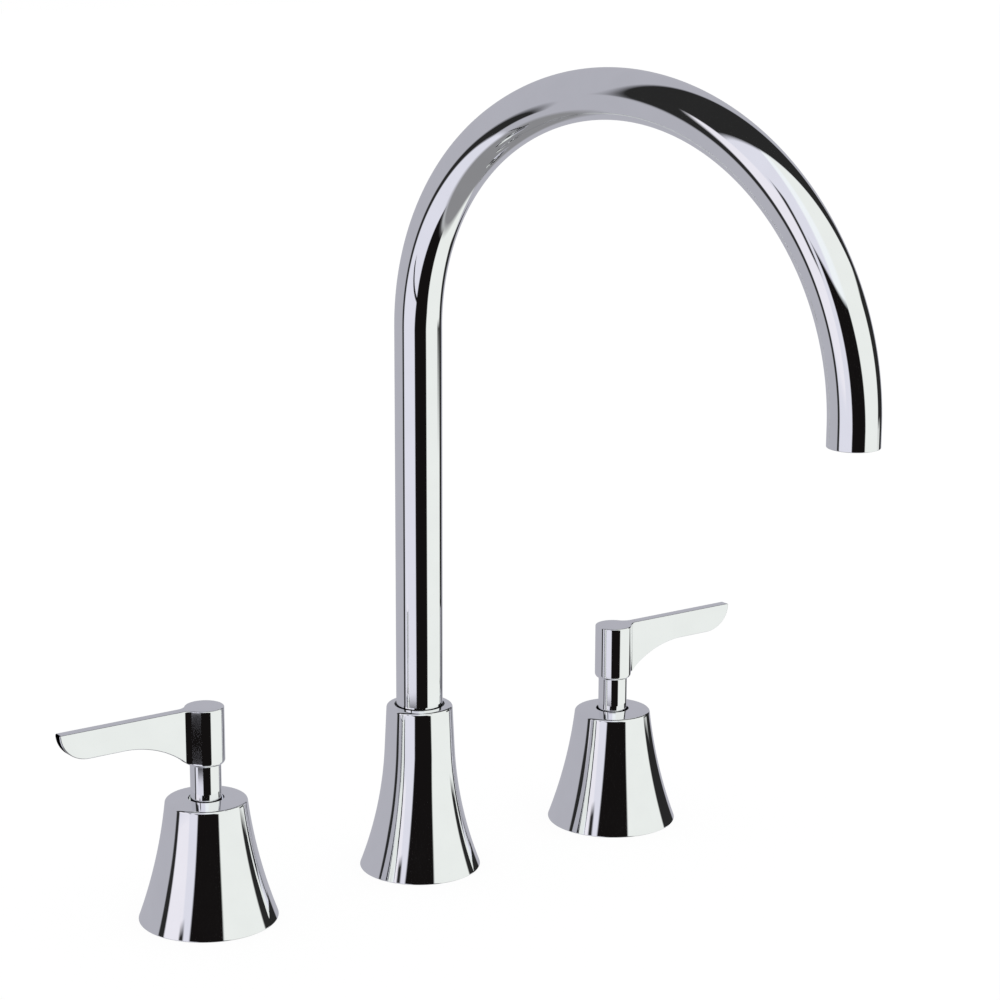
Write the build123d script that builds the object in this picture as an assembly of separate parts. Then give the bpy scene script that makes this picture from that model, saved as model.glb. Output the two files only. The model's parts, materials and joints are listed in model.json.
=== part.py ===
"""Two-handle basin mixer for three deck holes: swan-neck swivel spout and two quarter-turn levers.

The origin is on the spout's axis at the top of the deck. +Z is up, -Y is towards the user, and the two
handles stand in line with the spout along X. Everything below Z = 0 is under the deck. Millimetres.

Each piece of a valve is drawn for the valve on +X, about that valve's own axis, with its lever along +X and
its outlet along -X. The valve on -X is its mirror image.
"""

import os
from math import cos, hypot, radians, sin, sqrt

from build123d import *

# Layout
HANDLE_CENTRES = 200.0
DECK_GRIP = 20.0
SPOUT_TURN = 12.3

# Spout tube and its bend, which is tighter where it leaves the riser
TUBE_OD = 19.0
TUBE_WALL = 1.2
RISER_TOP = 226.0
REAR_RADIUS = 95.2
REAR_ANGLE = 56.2
ARCH_RADIUS = 107.7
OUTLET_DROP = 7.3
OUTLET_EDGE = 0.3

# Flared base of the spout
FLARE_HEIGHT = 69.8
FLARE_FOOT_R = 25.0
FLARE_WAIST_Z = 50.6
FLARE_WAIST_R = 14.4
FLARE_TOP_R = 13.5
FLARE_MOUTH_R = 10.3
FLARE_LIP = 2.0
FLARE_BORE_R = 12.0
FLARE_BORE_REACH = 7.0
FLARE_CROWN = 0.5
FLARE_EDGE = 1.3

# Bell of each valve
BELL_HEIGHT = 49.7
BELL_CROWN = 0.9
BELL_TOP_R = 16.1
BELL_FOOT_R = 27.6
BELL_ARC = 210.0
BELL_MOUTH_R = 7.0
BELL_TOP_WALL = 2.8
BELL_BOSS_WALL = 2.6
BELL_EDGE = 1.2

# Shell and foot shared by the bells and the flared base
SHELL_WALL = 2.2
FOOT_LAND = 2.4
FOOT_EDGE = 0.3
MOUTH_EDGE = 0.3
FOOT_SEAL_WIDTH = 2.2
FOOT_SEAL_HEIGHT = 1.6

# Lever handle
LEVER_LENGTH = 62.5
HUB_OD = 15.5
HUB_HEIGHT = 23.2
HUB_FOOT_EDGE = 1.8
BLADE_THICKNESS = 4.4
BLADE_DEPTH = 11.1
BLADE_TIP = 12.0
BLADE_SWEEP_START = 36.0
BLADE_ROOT_FILLET = 5.0
BLADE_ROOT_REACH = 1.25
LEVER_EDGE = 0.5
STEM_SHOW = 13.8

# Stem, its screw and the grub screw
STEM_OD = 12.2
STEM_NECK_OD = 9.8
STEM_NECK_LENGTH = 13.0
STEM_WELL_DEPTH = 16.0
STEM_WELL_R = 3.5
STEM_SCREW_R = 2.0
STEM_SCREW_HEAD_R = 3.4
STEM_SCREW_HEAD = 3.6
STEM_SCREW_GRIP = 9.0
GRUB_R = 2.0
GRUB_ABOVE_HUB_FOOT = 6.5
GRUB_INSET = 0.4
HEX_KEY = 2.0
HEX_KEY_DEPTH = 1.4

# Spindle of the valve
SPINDLE_R = 4.5
SPLINE_TEETH = 20
SPLINE_R = 4.0
SPLINE_ROOT_R = 3.6
SPLINE_LENGTH = 10.5
DRIVE_WIDTH = 7.0
DRIVE_HEIGHT = 3.0
DRIVE_KEY = 1.0
DRIVE_KEY_WIDTH = 2.4
RING_SECTION = 1.2
RING_GROOVE = 1.7
CLIP_THICKNESS = 1.0
CLIP_DEPTH = 0.9
CLIP_WIDTH = 2.4
CLIP_MOUTH = 5.0

# Ceramic discs and what holds them
DISC_R = 6.8
DISC_THICKNESS = 3.0
DISC_PORT_IN = 1.8
DISC_PORT_OUT = 5.6
DISC_PORT_ANGLE = 76.0
DISC_LUG_R = 7.9
DISC_LUG_WIDTH = 3.0
DISC_SEAL_HEIGHT = 4.0
DISC_SEAL_WALL = 1.1
THRUST_THICKNESS = 1.0
SEAT_DEPTH = 4.0

# Headwork that holds the spindle and the discs
HEADWORK_R = 8.4
HEADWORK_LIFT = 1.0
HEADWORK_THREAD_R = 10.45
HEADWORK_THREAD = 10.0
HEADWORK_RELIEF = 2.0
HEADWORK_FLATS = 24.0
HEADWORK_HEX = 6.0
HEADWORK_NECK_R = 10.0
HEADWORK_NECK = 9.0
HEADWORK_WASHER = 1.0
HEADWORK_WASHER_R = 12.5
WINDOW_WIDTH = 7.0
STOP_LUG_WIDTH = 1.2
STOP_LUG_R = 5.8

# Valve body and spout core through and under the deck
SHANK_R = 14.0
THREAD_PITCH = 1.5
THREAD_DEPTH = 0.75
THREAD_SPARE = 15.0
CHAMBER_R = 9.5
INLET_R = 10.48
INLET_LENGTH = 16.0
INLET_BORE_R = 4.5
INLET_MOUTH_R = 7.5
INLET_MOUTH_DEPTH = 12.0
BLOCK_R = 15.5
BLOCK_HALF = 14.0
PORT_REACH = 30.0
PORT_BORE_R = 6.0
PORT_START = 6.5
CHANNEL_R = 2.2
CHANNEL_CIRCLE = 9.2
CHANNEL_STEP = 35.0

# Clamping hardware
TOP_NUT_FLATS = 34.0
TOP_NUT_HEIGHT = 6.0
GASKET_THICKNESS = 2.0
GASKET_R = 19.0
WASHER_R = 22.0
RUBBER_WASHER = 2.0
STEEL_WASHER = 2.0
BACKNUT_FLATS = 38.0
BACKNUT_HEIGHT = 7.0
WASHER_PLAY = 0.2

# Spout core and swivel tail
CORE_FLANGE = 4.0
CORE_FLANGE_R = 18.0
CORE_BARREL_R = 11.4
TUBE_ENTRY = 4.8
CORE_COLLAR = 12.0
CORE_BORE_R = 10.0
SWIVEL_STEP_Z = 24.0
TAIL_R = 8.0
TAIL_BORE_R = 5.5
TAIL_COLLAR = 2.0
TAIL_SPIGOT = 12.0
TAIL_FOOT = 6.0
SWIVEL_RING_SECTION = 1.3
SWIVEL_RING_GROOVE = 1.8
SWIVEL_CLIP = 1.2
SWIVEL_CLIP_DEPTH = 1.0
SWIVEL_CLIP_WIDTH = 2.4
SWIVEL_THRUST = 1.2
GUIDE_LENGTH = 8.4

# Aerator in the outlet
BUSH_WALL = 0.9
BUSH_HEIGHT = 5.2
BUSH_RECESS = 0.4
BUSH_LIP = 0.8
BUSH_LIP_WIDTH = 1.0
AERATOR_WALL = 1.0
AERATOR_FOOT = 0.5
AERATOR_FOOT_WIDTH = 0.5
AERATOR_SEAL = 1.0
GRID_THICKNESS = 0.8
GRID_HOLE_R = 0.62
GRID_PITCH = 1.75
GRID_RINGS = 3
GRID_SKIRT = 0.4

# Breech under the deck
TEE_R = 14.0
TEE_SPIGOT = 12.0
TEE_COLLAR_FLATS = 30.0
TEE_COLLAR = 6.0
TEE_WASHER = 1.0
TEE_WASHER_R = 13.0
TEE_BORE_R = 7.0
PIPE_R = 7.5
PIPE_WALL = 1.0
PIPE_FLANGE = 2.0
PIPE_FLANGE_R = 9.6
UNION_WASHER = 1.5
UNION_FLATS = 26.0
UNION_OVERLAP = 10.0
UNION_END = 3.0

# Clearances
RUNNING = 0.05
AXIAL_PLAY = 0.2
DISC_PLAY = 0.2

# Heights and places that follow from the sizes above
VALVE_X = HANDLE_CENTRES / 2
SPOUT_AZIMUTH = -90.0 + SPOUT_TURN
TUBE_R = TUBE_OD / 2
TUBE_BORE_R = TUBE_R - TUBE_WALL
REAR_RISE = sin(radians(REAR_ANGLE))
REAR_REACH = cos(radians(REAR_ANGLE))
ARCH_X = REAR_RADIUS + (ARCH_RADIUS - REAR_RADIUS) * REAR_REACH
ARCH_Z = RISER_TOP - (ARCH_RADIUS - REAR_RADIUS) * REAR_RISE
OUTLET_X = ARCH_X + ARCH_RADIUS
OUTLET_Z = ARCH_Z - OUTLET_DROP
HUB_R = HUB_OD / 2
STEM_R = STEM_OD / 2
NECK_R = STEM_NECK_OD / 2
SEAT_Z = -SEAT_DEPTH
FIXED_DISC_Z = SEAT_Z + DISC_SEAL_HEIGHT
MOVING_DISC_Z = FIXED_DISC_Z + DISC_THICKNESS
DRIVE_Z = MOVING_DISC_Z + DISC_THICKNESS
THRUST_Z = DRIVE_Z + DRIVE_HEIGHT
SHOULDER_Z = THRUST_Z + THRUST_THICKNESS
SCREW_IN_Z = SHOULDER_Z + HEADWORK_RELIEF
BODY_TOP = SCREW_IN_Z + HEADWORK_THREAD
HEX_Z = BODY_TOP + HEADWORK_WASHER
NECK_Z = HEX_Z + HEADWORK_HEX
NECK_TOP = NECK_Z + HEADWORK_NECK
CLIP_Z = NECK_TOP + AXIAL_PLAY
SPLINE_Z = CLIP_Z + CLIP_THICKNESS
SPINDLE_TOP = SPLINE_Z + SPLINE_LENGTH
STEM_Z = SPLINE_Z + AXIAL_PLAY
HUB_Z = BELL_HEIGHT + STEM_SHOW
HUB_TOP = HUB_Z + HUB_HEIGHT
WELL_TOP = HUB_Z + STEM_NECK_LENGTH
WELL_Z = WELL_TOP - STEM_WELL_DEPTH
GRUB_Z = HUB_Z + GRUB_ABOVE_HUB_FOOT
SPINDLE_GROOVE_R = SPINDLE_R - RING_SECTION
BELL_CEILING = BELL_HEIGHT - BELL_TOP_WALL
RUBBER_TOP = -DECK_GRIP
STEEL_TOP = RUBBER_TOP - RUBBER_WASHER
BACKNUT_TOP = STEEL_TOP - STEEL_WASHER
THREAD_END = BACKNUT_TOP - BACKNUT_HEIGHT - THREAD_SPARE
PORT_Z = THREAD_END - BLOCK_HALF
BLOCK_END = PORT_Z - BLOCK_HALF
INLET_END = BLOCK_END - INLET_LENGTH
FLANGE_TOP = GASKET_THICKNESS + CORE_FLANGE
LIP_Z = FLARE_HEIGHT - FLARE_LIP
TUBE_FOOT = LIP_Z - GUIDE_LENGTH - TUBE_ENTRY
COLLAR_Z = TUBE_FOOT - TAIL_COLLAR
CORE_TOP = COLLAR_Z - SWIVEL_THRUST
FLARE_BORE_Z = CORE_TOP - FLARE_BORE_REACH
TAIL_END = SWIVEL_STEP_Z - TAIL_FOOT
SWIVEL_CLIP_Z = SWIVEL_STEP_Z - AXIAL_PLAY - SWIVEL_CLIP
BUSH_Z = OUTLET_Z + BUSH_RECESS
BUSH_TOP = BUSH_Z + BUSH_HEIGHT
BUSH_LIP_Z = BUSH_TOP - BUSH_LIP
BUSH_BORE_R = TUBE_BORE_R - BUSH_WALL
AERATOR_TOP = BUSH_LIP_Z - AERATOR_SEAL
AERATOR_BORE_R = BUSH_BORE_R - RUNNING - AERATOR_WALL
SCREEN_Z = BUSH_Z + AERATOR_FOOT
SCREEN_TOP = SCREEN_Z + GRID_THICKNESS
PIPE_START = PORT_REACH + UNION_WASHER
PIPE_END = VALVE_X - PIPE_START
TEE_COLLAR_TOP = THREAD_END - TEE_WASHER
TEE_COLLAR_Z = TEE_COLLAR_TOP - TEE_COLLAR


# Shared forms

def rod(radius, low, high):
    """A cylinder about the Z axis between two heights."""
    return Pos(0, 0, (low + high) / 2) * Cylinder(radius, high - low)


def ring(inner, outer, low, high):
    """A plain ring about the Z axis."""
    return rod(outer, low, high) - rod(inner, low, high)


def slab(length, width, low, high):
    """A bar across the Z axis, long in X."""
    return Pos(0, 0, (low + high) / 2) * Box(length, width, high - low)


def turned(*lines):
    """A solid of revolution from lines and arcs that close, in (radius, height)."""
    return revolve(Plane.XZ * make_face(lines), Axis.Z)


def bowed(foot, top, radius):
    """An arc from foot up to top, in (radius, height), that bows towards the axis."""
    across = top[0] - foot[0]
    rise = top[1] - foot[1]
    chord = hypot(across, rise)
    bow = radius - sqrt(radius**2 - chord**2 / 4)
    middle_r = (foot[0] + top[0]) / 2 - bow * rise / chord
    middle_z = (foot[1] + top[1]) / 2 + bow * across / chord
    return ThreePointArc(foot, (middle_r, middle_z), top)


def crowned(edge, crown):
    """A shallow dome's arc from its edge to the axis, in (radius, height)."""
    apex = edge[1] + crown
    return ThreePointArc(edge, (edge[0] / 2, apex - crown / 4), (0, apex))


def threaded(radius, low, high):
    """A rod with its thread as rings of even pitch."""
    turns = max(1, int((high - low) / THREAD_PITCH))
    step = (high - low) / turns
    corners = [(0, low)]
    for turn in range(turns):
        foot = low + turn * step
        corners += [(radius, foot), (radius, foot + step / 4), (radius - THREAD_DEPTH, foot + step * 5 / 8)]
    corners += [(radius, high), (0, high)]
    return turned(Polyline(*corners, close=True))


def hexagon(flats, low, high):
    """A hexagon bar with its corners bevelled at both ends."""
    bar = extrude(Plane.XY.offset(low) * RegularPolygon(flats / 2, 6, major_radius=False), high - low)
    corner = flats / sqrt(3)
    bevel = (corner - flats / 2) / 2
    side = [(corner, low + bevel), (corner, high - bevel)]
    ends = [(flats / 2, high), (0, high), (0, low), (flats / 2, low)]
    return bar & turned(Polyline(*side, *ends, close=True))


def open_clip(inner, outer, low, high):
    """A retaining clip: a flat ring with a mouth towards +X."""
    return ring(inner, outer, low, high) - Pos(outer, 0, (low + high) / 2) * Box(2 * outer, CLIP_MOUTH, high - low)


def o_ring(outer, section, height):
    """A rubber ring that just fills its groove out to the outer radius."""
    return Pos(0, 0, height) * Torus(outer - section / 2, section / 2)


def along_x(shape):
    """Turns a form drawn along +Z so that it runs along +X at the breech's height."""
    return Pos(0, 0, PORT_Z) * Rot(0, 90, 0) * shape


def rims(solid):
    """The full-circle edges of a turned solid, lowest first."""
    return solid.edges().filter_by(lambda edge: edge.is_closed).sort_by(Axis.Z)


def group(*solids):
    """Separate identical solids that share one node."""
    return Compound(list(solids))


# Spout, the pieces that swivel, drawn with the bend towards +X

def spout_tube():
    """Riser, bend of two arcs that runs through half a turn, and short straight end."""
    wall = Circle(TUBE_R) - Circle(TUBE_BORE_R)
    rear_axis = Axis((REAR_RADIUS, 0, RISER_TOP), (0, 1, 0))
    front_axis = Axis((ARCH_X, 0, ARCH_Z), (0, -1, 0))
    riser = ring(TUBE_BORE_R, TUBE_R, TUBE_FOOT, RISER_TOP)
    rear = revolve(Plane.XY.offset(RISER_TOP) * wall, rear_axis, REAR_ANGLE)
    front = revolve(Pos(OUTLET_X, 0, ARCH_Z) * wall, front_axis, 180 - REAR_ANGLE)
    end = at_outlet(ring(TUBE_BORE_R, TUBE_R, OUTLET_Z, ARCH_Z))
    outlet_rims = end.edges().filter_by(lambda edge: edge.is_closed).group_by(Axis.Z)[0]
    end = fillet(outlet_rims.sort_by(SortBy.LENGTH)[-1], OUTLET_EDGE)
    return riser + rear + front + end


def swivel_tail():
    """Brass tail brazed into the tube's foot, which turns in the spout core."""
    tail = rod(TAIL_R, TAIL_END, COLLAR_Z) + rod(TUBE_R, COLLAR_Z, TUBE_FOOT)
    tail += rod(TUBE_BORE_R - RUNNING, TUBE_FOOT, TUBE_FOOT + TAIL_SPIGOT)
    for height in swivel_ring_heights():
        half = SWIVEL_RING_GROOVE / 2
        tail -= ring(TAIL_R - SWIVEL_RING_SECTION, TAIL_R + 1, height - half, height + half)
    tail -= ring(TAIL_R - SWIVEL_CLIP_DEPTH, TAIL_R + 1, SWIVEL_CLIP_Z, SWIVEL_CLIP_Z + SWIVEL_CLIP)
    return tail - rod(TAIL_BORE_R, TAIL_END, TUBE_FOOT + TAIL_SPIGOT)


def swivel_ring_heights():
    """The two heights at which the swivel tail carries its rubber rings."""
    journal = CORE_TOP - SWIVEL_STEP_Z
    return SWIVEL_STEP_Z + journal / 4, CORE_TOP - journal / 4


def swivel_o_rings():
    return group(*[o_ring(TAIL_R, SWIVEL_RING_SECTION, height) for height in swivel_ring_heights()])


def swivel_circlip():
    inner = TAIL_R - SWIVEL_CLIP_DEPTH
    return open_clip(inner, inner + SWIVEL_CLIP_WIDTH, SWIVEL_CLIP_Z, SWIVEL_CLIP_Z + SWIVEL_CLIP)


def at_outlet(shape):
    """Moves a form drawn about the Z axis to the spout's outlet."""
    return Pos(OUTLET_X, 0, 0) * shape


def outlet_bush():
    """Threaded insert in the tube's end that the aerator screws into."""
    lip = ring(BUSH_BORE_R - BUSH_LIP_WIDTH, TUBE_BORE_R, BUSH_LIP_Z, BUSH_TOP)
    return at_outlet(ring(BUSH_BORE_R, TUBE_BORE_R, BUSH_Z, BUSH_LIP_Z) + lip)


def aerator_seal():
    return at_outlet(ring(BUSH_BORE_R - BUSH_LIP_WIDTH, BUSH_BORE_R - RUNNING, AERATOR_TOP, BUSH_LIP_Z))


def aerator_housing():
    """Ring with an inward foot that carries the two grids."""
    wall = ring(AERATOR_BORE_R, BUSH_BORE_R - RUNNING, BUSH_Z, AERATOR_TOP)
    return at_outlet(wall + ring(AERATOR_BORE_R - AERATOR_FOOT_WIDTH, AERATOR_BORE_R, BUSH_Z, SCREEN_Z))


def grid_holes(low, high):
    """Hexagonal pattern of round holes."""
    holes = []
    for row in range(-GRID_RINGS, GRID_RINGS + 1):
        count = 2 * GRID_RINGS + 1 - abs(row)
        for column in range(count):
            x = (column - (count - 1) / 2) * GRID_PITCH
            holes.append(Pos(x, row * GRID_PITCH * sqrt(3) / 2, 0) * rod(GRID_HOLE_R, low, high))
    return holes


def aerator_screen():
    plate = rod(AERATOR_BORE_R - RUNNING, SCREEN_Z, SCREEN_TOP)
    return at_outlet(plate - grid_holes(SCREEN_Z, SCREEN_TOP))


def aerator_flow_disc():
    """Upper grid, held off the screen by its skirt."""
    outer = AERATOR_BORE_R - RUNNING
    floor = AERATOR_TOP - GRID_THICKNESS
    plate = rod(outer, floor, AERATOR_TOP) - grid_holes(floor, AERATOR_TOP)
    return at_outlet(plate + ring(outer - GRID_SKIRT, outer, SCREEN_TOP, floor))


# Spout, the pieces that stand

def flared_shell():
    """Flared base: a concave foot running straight up into a slim neck, hollow for the core."""
    foot = (FLARE_FOOT_R, 0)
    waist = (FLARE_WAIST_R, FLARE_WAIST_Z)
    top = (FLARE_TOP_R, FLARE_HEIGHT - FLARE_CROWN)
    lean = (waist[0] - top[0], waist[1] - top[1])
    outside = turned(
        TangentArc(waist, foot, tangent=lean),
        Line(waist, top),
        crowned(top, FLARE_CROWN),
        Line((0, FLARE_HEIGHT), (0, 0)),
        Line((0, 0), foot),
    )
    outside = fillet(rims(outside)[-1], FLARE_EDGE)
    outside = fillet(rims(outside)[0], FOOT_EDGE)
    cavity_foot = (FLARE_FOOT_R - FOOT_LAND, 0)
    bore = (FLARE_BORE_R, FLARE_BORE_Z)
    cavity = turned(
        TangentArc(bore, cavity_foot, tangent=(0, -1)),
        Line(bore, (0, FLARE_BORE_Z)),
        Line((0, FLARE_BORE_Z), (0, 0)),
        Line((0, 0), cavity_foot),
    )
    shell = outside - cavity - rod(FLARE_BORE_R, FLARE_BORE_Z, LIP_Z)
    shell -= rod(FLARE_FOOT_R - FOOT_LAND, 0, FOOT_SEAL_HEIGHT)
    return shell - rod(FLARE_MOUTH_R, LIP_Z, FLARE_HEIGHT)


def foot_seal(foot_r):
    """Flat rubber ring in the foot of a bell or of the flared base."""
    outer = foot_r - FOOT_LAND
    return ring(outer - FOOT_SEAL_WIDTH, outer, 0, FOOT_SEAL_HEIGHT)


def spout_core():
    """Brass core: threaded shank through the deck, flange on it, and the barrel that holds the swivel."""
    core = threaded(SHANK_R, THREAD_END, GASKET_THICKNESS)
    core += rod(CORE_FLANGE_R, GASKET_THICKNESS, FLANGE_TOP)
    core += rod(CORE_BARREL_R, FLANGE_TOP, CORE_TOP - CORE_COLLAR)
    core += rod(FLARE_BORE_R - RUNNING, CORE_TOP - CORE_COLLAR, CORE_TOP)
    return core - rod(CORE_BORE_R, THREAD_END, SWIVEL_STEP_Z) - rod(TAIL_R + RUNNING, SWIVEL_STEP_Z, CORE_TOP)


def deck_gasket():
    return ring(SHANK_R + WASHER_PLAY, GASKET_R, 0, GASKET_THICKNESS)


def guide_bush():
    """Plastic sleeve in the flared base's mouth that steadies the turning tube."""
    return ring(TUBE_R + RUNNING, FLARE_BORE_R, LIP_Z - GUIDE_LENGTH, LIP_Z)


def swivel_thrust_ring():
    return ring(TAIL_R + RUNNING, CORE_BARREL_R, CORE_TOP, COLLAR_Z)


# Clamping under the deck

def rubber_washer():
    return ring(SHANK_R + WASHER_PLAY, WASHER_R, STEEL_TOP, RUBBER_TOP)


def steel_washer():
    return ring(SHANK_R + WASHER_PLAY, WASHER_R, BACKNUT_TOP, STEEL_TOP)


def backnut():
    nut = hexagon(BACKNUT_FLATS, BACKNUT_TOP - BACKNUT_HEIGHT, BACKNUT_TOP)
    return nut - rod(SHANK_R + RUNNING, BACKNUT_TOP - BACKNUT_HEIGHT, BACKNUT_TOP)


def at_three_holes(shape):
    """One copy under each of the three deck holes."""
    return group(*[Pos(x, 0, 0) * shape for x in (-VALVE_X, 0, VALVE_X)])


# Breech that carries the mixed water to the spout

def breech_tee():
    """Tee screwed into the core's shank, with a port towards each valve."""
    tee = rod(TEE_R, BLOCK_END, TEE_COLLAR_Z) + hexagon(TEE_COLLAR_FLATS, TEE_COLLAR_Z, TEE_COLLAR_TOP)
    tee += rod(CORE_BORE_R - RUNNING, TEE_COLLAR_TOP, THREAD_END + TEE_SPIGOT)
    tee += along_x(rod(INLET_R, -PORT_REACH, PORT_REACH))
    tee -= rod(TEE_BORE_R, PORT_Z - TEE_BORE_R, THREAD_END + TEE_SPIGOT)
    return tee - along_x(rod(PORT_BORE_R, -PORT_REACH, PORT_REACH))


def tee_washer():
    return ring(CORE_BORE_R, TEE_WASHER_R, TEE_COLLAR_TOP, THREAD_END)


def breech_pipe():
    """Copper pipe with a flange at each end, from the tee to the valve on +X."""
    bore = PIPE_R - PIPE_WALL
    pipe = ring(bore, PIPE_R, PIPE_START, PIPE_END)
    pipe += ring(bore, PIPE_FLANGE_R, PIPE_START, PIPE_START + PIPE_FLANGE)
    pipe += ring(bore, PIPE_FLANGE_R, PIPE_END - PIPE_FLANGE, PIPE_END)
    return along_x(pipe)


def at_pipe_ends(shape):
    """A form drawn at the tee's end of the +X pipe, and its copy facing it at the valve's end."""
    return [shape, mirror(shape, Plane.YZ.offset(VALVE_X / 2))]


def union_nuts():
    """Nuts that draw the pipe's flanges against the ports."""
    start = PORT_REACH - UNION_OVERLAP
    cavity_end = PIPE_START + PIPE_FLANGE
    end = cavity_end + UNION_END
    nut = hexagon(UNION_FLATS, start, end) - rod(INLET_R + RUNNING, start, cavity_end)
    nut -= rod(PIPE_R + RUNNING, cavity_end, end)
    return at_pipe_ends(along_x(nut))


def union_washers():
    return at_pipe_ends(along_x(ring(PIPE_R - PIPE_WALL, PIPE_FLANGE_R, PORT_REACH, PIPE_START)))


# Valve, the pieces that stand

def bell():
    """Bell over the valve, with a boss inside that pushes onto the headwork's neck."""
    foot = (BELL_FOOT_R, 0)
    top = (BELL_TOP_R, BELL_HEIGHT - BELL_CROWN)
    outside = turned(
        bowed(foot, top, BELL_ARC),
        crowned(top, BELL_CROWN),
        Line((0, BELL_HEIGHT), (0, 0)),
        Line((0, 0), foot),
    )
    outside = fillet(rims(outside)[-1], BELL_EDGE)
    outside = fillet(rims(outside)[0], FOOT_EDGE)
    cavity_foot = (BELL_FOOT_R - FOOT_LAND, 0)
    cavity_top = (BELL_TOP_R - SHELL_WALL, BELL_CEILING)
    cavity = turned(
        bowed(cavity_foot, cavity_top, BELL_ARC),
        Line(cavity_top, (0, BELL_CEILING)),
        Line((0, BELL_CEILING), (0, 0)),
        Line((0, 0), cavity_foot),
    )
    boss_bore = HEADWORK_NECK_R + RUNNING
    shell = outside - cavity - rod(BELL_FOOT_R - FOOT_LAND, 0, FOOT_SEAL_HEIGHT)
    shell += ring(boss_bore, boss_bore + BELL_BOSS_WALL, NECK_Z + AXIAL_PLAY, BELL_CEILING)
    shell -= rod(BELL_MOUTH_R, BELL_CEILING, BELL_HEIGHT)
    return fillet(rims(shell).filter_by(lambda edge: edge.length < 7 * BELL_MOUTH_R)[-1], MOUTH_EDGE)


def valve_body():
    """Brass body: shank through the deck, block with the side outlet under it, and the inlet tail."""
    thin = SHANK_R - THREAD_DEPTH
    body = rod(BLOCK_R, BLOCK_END, THREAD_END) + threaded(SHANK_R, THREAD_END, SCREW_IN_Z)
    body += rod(thin, SCREW_IN_Z, BODY_TOP) + rod(INLET_R, INLET_END, BLOCK_END)
    body += along_x(rod(INLET_R, -PORT_REACH, 0))
    body -= rod(HEADWORK_THREAD_R + RUNNING, SCREW_IN_Z - AXIAL_PLAY, BODY_TOP)
    body -= rod(CHAMBER_R, SEAT_Z, SCREW_IN_Z)
    body -= rod(INLET_BORE_R, INLET_END, SEAT_Z)
    body -= rod(INLET_MOUTH_R, INLET_END, INLET_END + INLET_MOUTH_DEPTH)
    for step in (-1, 0, 1):
        angle = radians(180 + step * CHANNEL_STEP)
        place = Pos(CHANNEL_CIRCLE * cos(angle), CHANNEL_CIRCLE * sin(angle), 0)
        body -= place * rod(CHANNEL_R, PORT_Z, SEAT_Z)
    return body - along_x(rod(PORT_BORE_R, -PORT_REACH, -PORT_START))


def top_nut():
    nut = hexagon(TOP_NUT_FLATS, GASKET_THICKNESS, GASKET_THICKNESS + TOP_NUT_HEIGHT)
    return nut - rod(SHANK_R + RUNNING, GASKET_THICKNESS, GASKET_THICKNESS + TOP_NUT_HEIGHT)


def headwork_washer():
    return ring(HEADWORK_THREAD_R + RUNNING, HEADWORK_WASHER_R, BODY_TOP, HEX_Z)


def headwork():
    """Brass cage for the discs, screwed into the body, with the spindle's bearing above it."""
    disc_bore = DISC_R + DISC_PLAY
    cage_foot = SEAT_Z + HEADWORK_LIFT
    body = rod(HEADWORK_R, cage_foot, SCREW_IN_Z) + rod(HEADWORK_THREAD_R, SCREW_IN_Z, HEX_Z)
    body += hexagon(HEADWORK_FLATS, HEX_Z, NECK_Z) + rod(HEADWORK_NECK_R, NECK_Z, NECK_TOP)
    body -= rod(disc_bore, cage_foot, SHOULDER_Z) + rod(SPINDLE_R + RUNNING, SHOULDER_Z, NECK_TOP)
    body -= slab(DISC_LUG_WIDTH + DISC_PLAY, 2 * HEADWORK_R, cage_foot, MOVING_DISC_Z)
    body -= Rot(0, 0, -45) * slab(2 * HEADWORK_R, WINDOW_WIDTH, DRIVE_Z, THRUST_Z)
    stops = slab(2 * disc_bore, STOP_LUG_WIDTH, DRIVE_Z, THRUST_Z)
    stops &= ring(STOP_LUG_R, (disc_bore + HEADWORK_R) / 2, DRIVE_Z, THRUST_Z)
    return body + Rot(0, 0, 45) * stops


def disc_ports(low, high):
    """Two opposite sector ports through a disc, along X."""
    band = ring(DISC_PORT_IN, DISC_PORT_OUT, low, high)
    half = DISC_PORT_ANGLE / 2
    reach = DISC_R / cos(radians(half))
    corner = (reach * cos(radians(half)), reach * sin(radians(half)))
    wedge = Polyline((0, 0), corner, (corner[0], -corner[1]), close=True)
    sector = extrude(Plane.XY.offset(low) * make_face(wedge), high - low)
    return band & (sector + Rot(0, 0, 180) * sector)


def fixed_disc():
    """Lower ceramic disc, kept from turning by two lugs in the cage's slots."""
    disc = rod(DISC_R, FIXED_DISC_Z, MOVING_DISC_Z) - disc_ports(FIXED_DISC_Z, MOVING_DISC_Z)
    lugs = slab(DISC_LUG_WIDTH, 2 * DISC_LUG_R, FIXED_DISC_Z, MOVING_DISC_Z)
    return disc + (lugs - rod(DISC_R, FIXED_DISC_Z, MOVING_DISC_Z))


def disc_seal():
    return ring(DISC_R - DISC_SEAL_WALL, DISC_R, SEAT_Z, FIXED_DISC_Z)


def spindle_thrust_washer():
    return ring(SPINDLE_R + RUNNING, DISC_R, THRUST_Z, SHOULDER_Z)


# Valve, the pieces that turn with the lever

def moving_disc():
    """Upper ceramic disc, a quarter turn from the fixed disc's ports when the valve is shut."""
    disc = rod(DISC_R, MOVING_DISC_Z, DRIVE_Z) - Rot(0, 0, 90) * disc_ports(MOVING_DISC_Z, DRIVE_Z)
    return disc - slab(2 * DISC_PORT_OUT, DRIVE_KEY_WIDTH, DRIVE_Z - DRIVE_KEY, DRIVE_Z)


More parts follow.
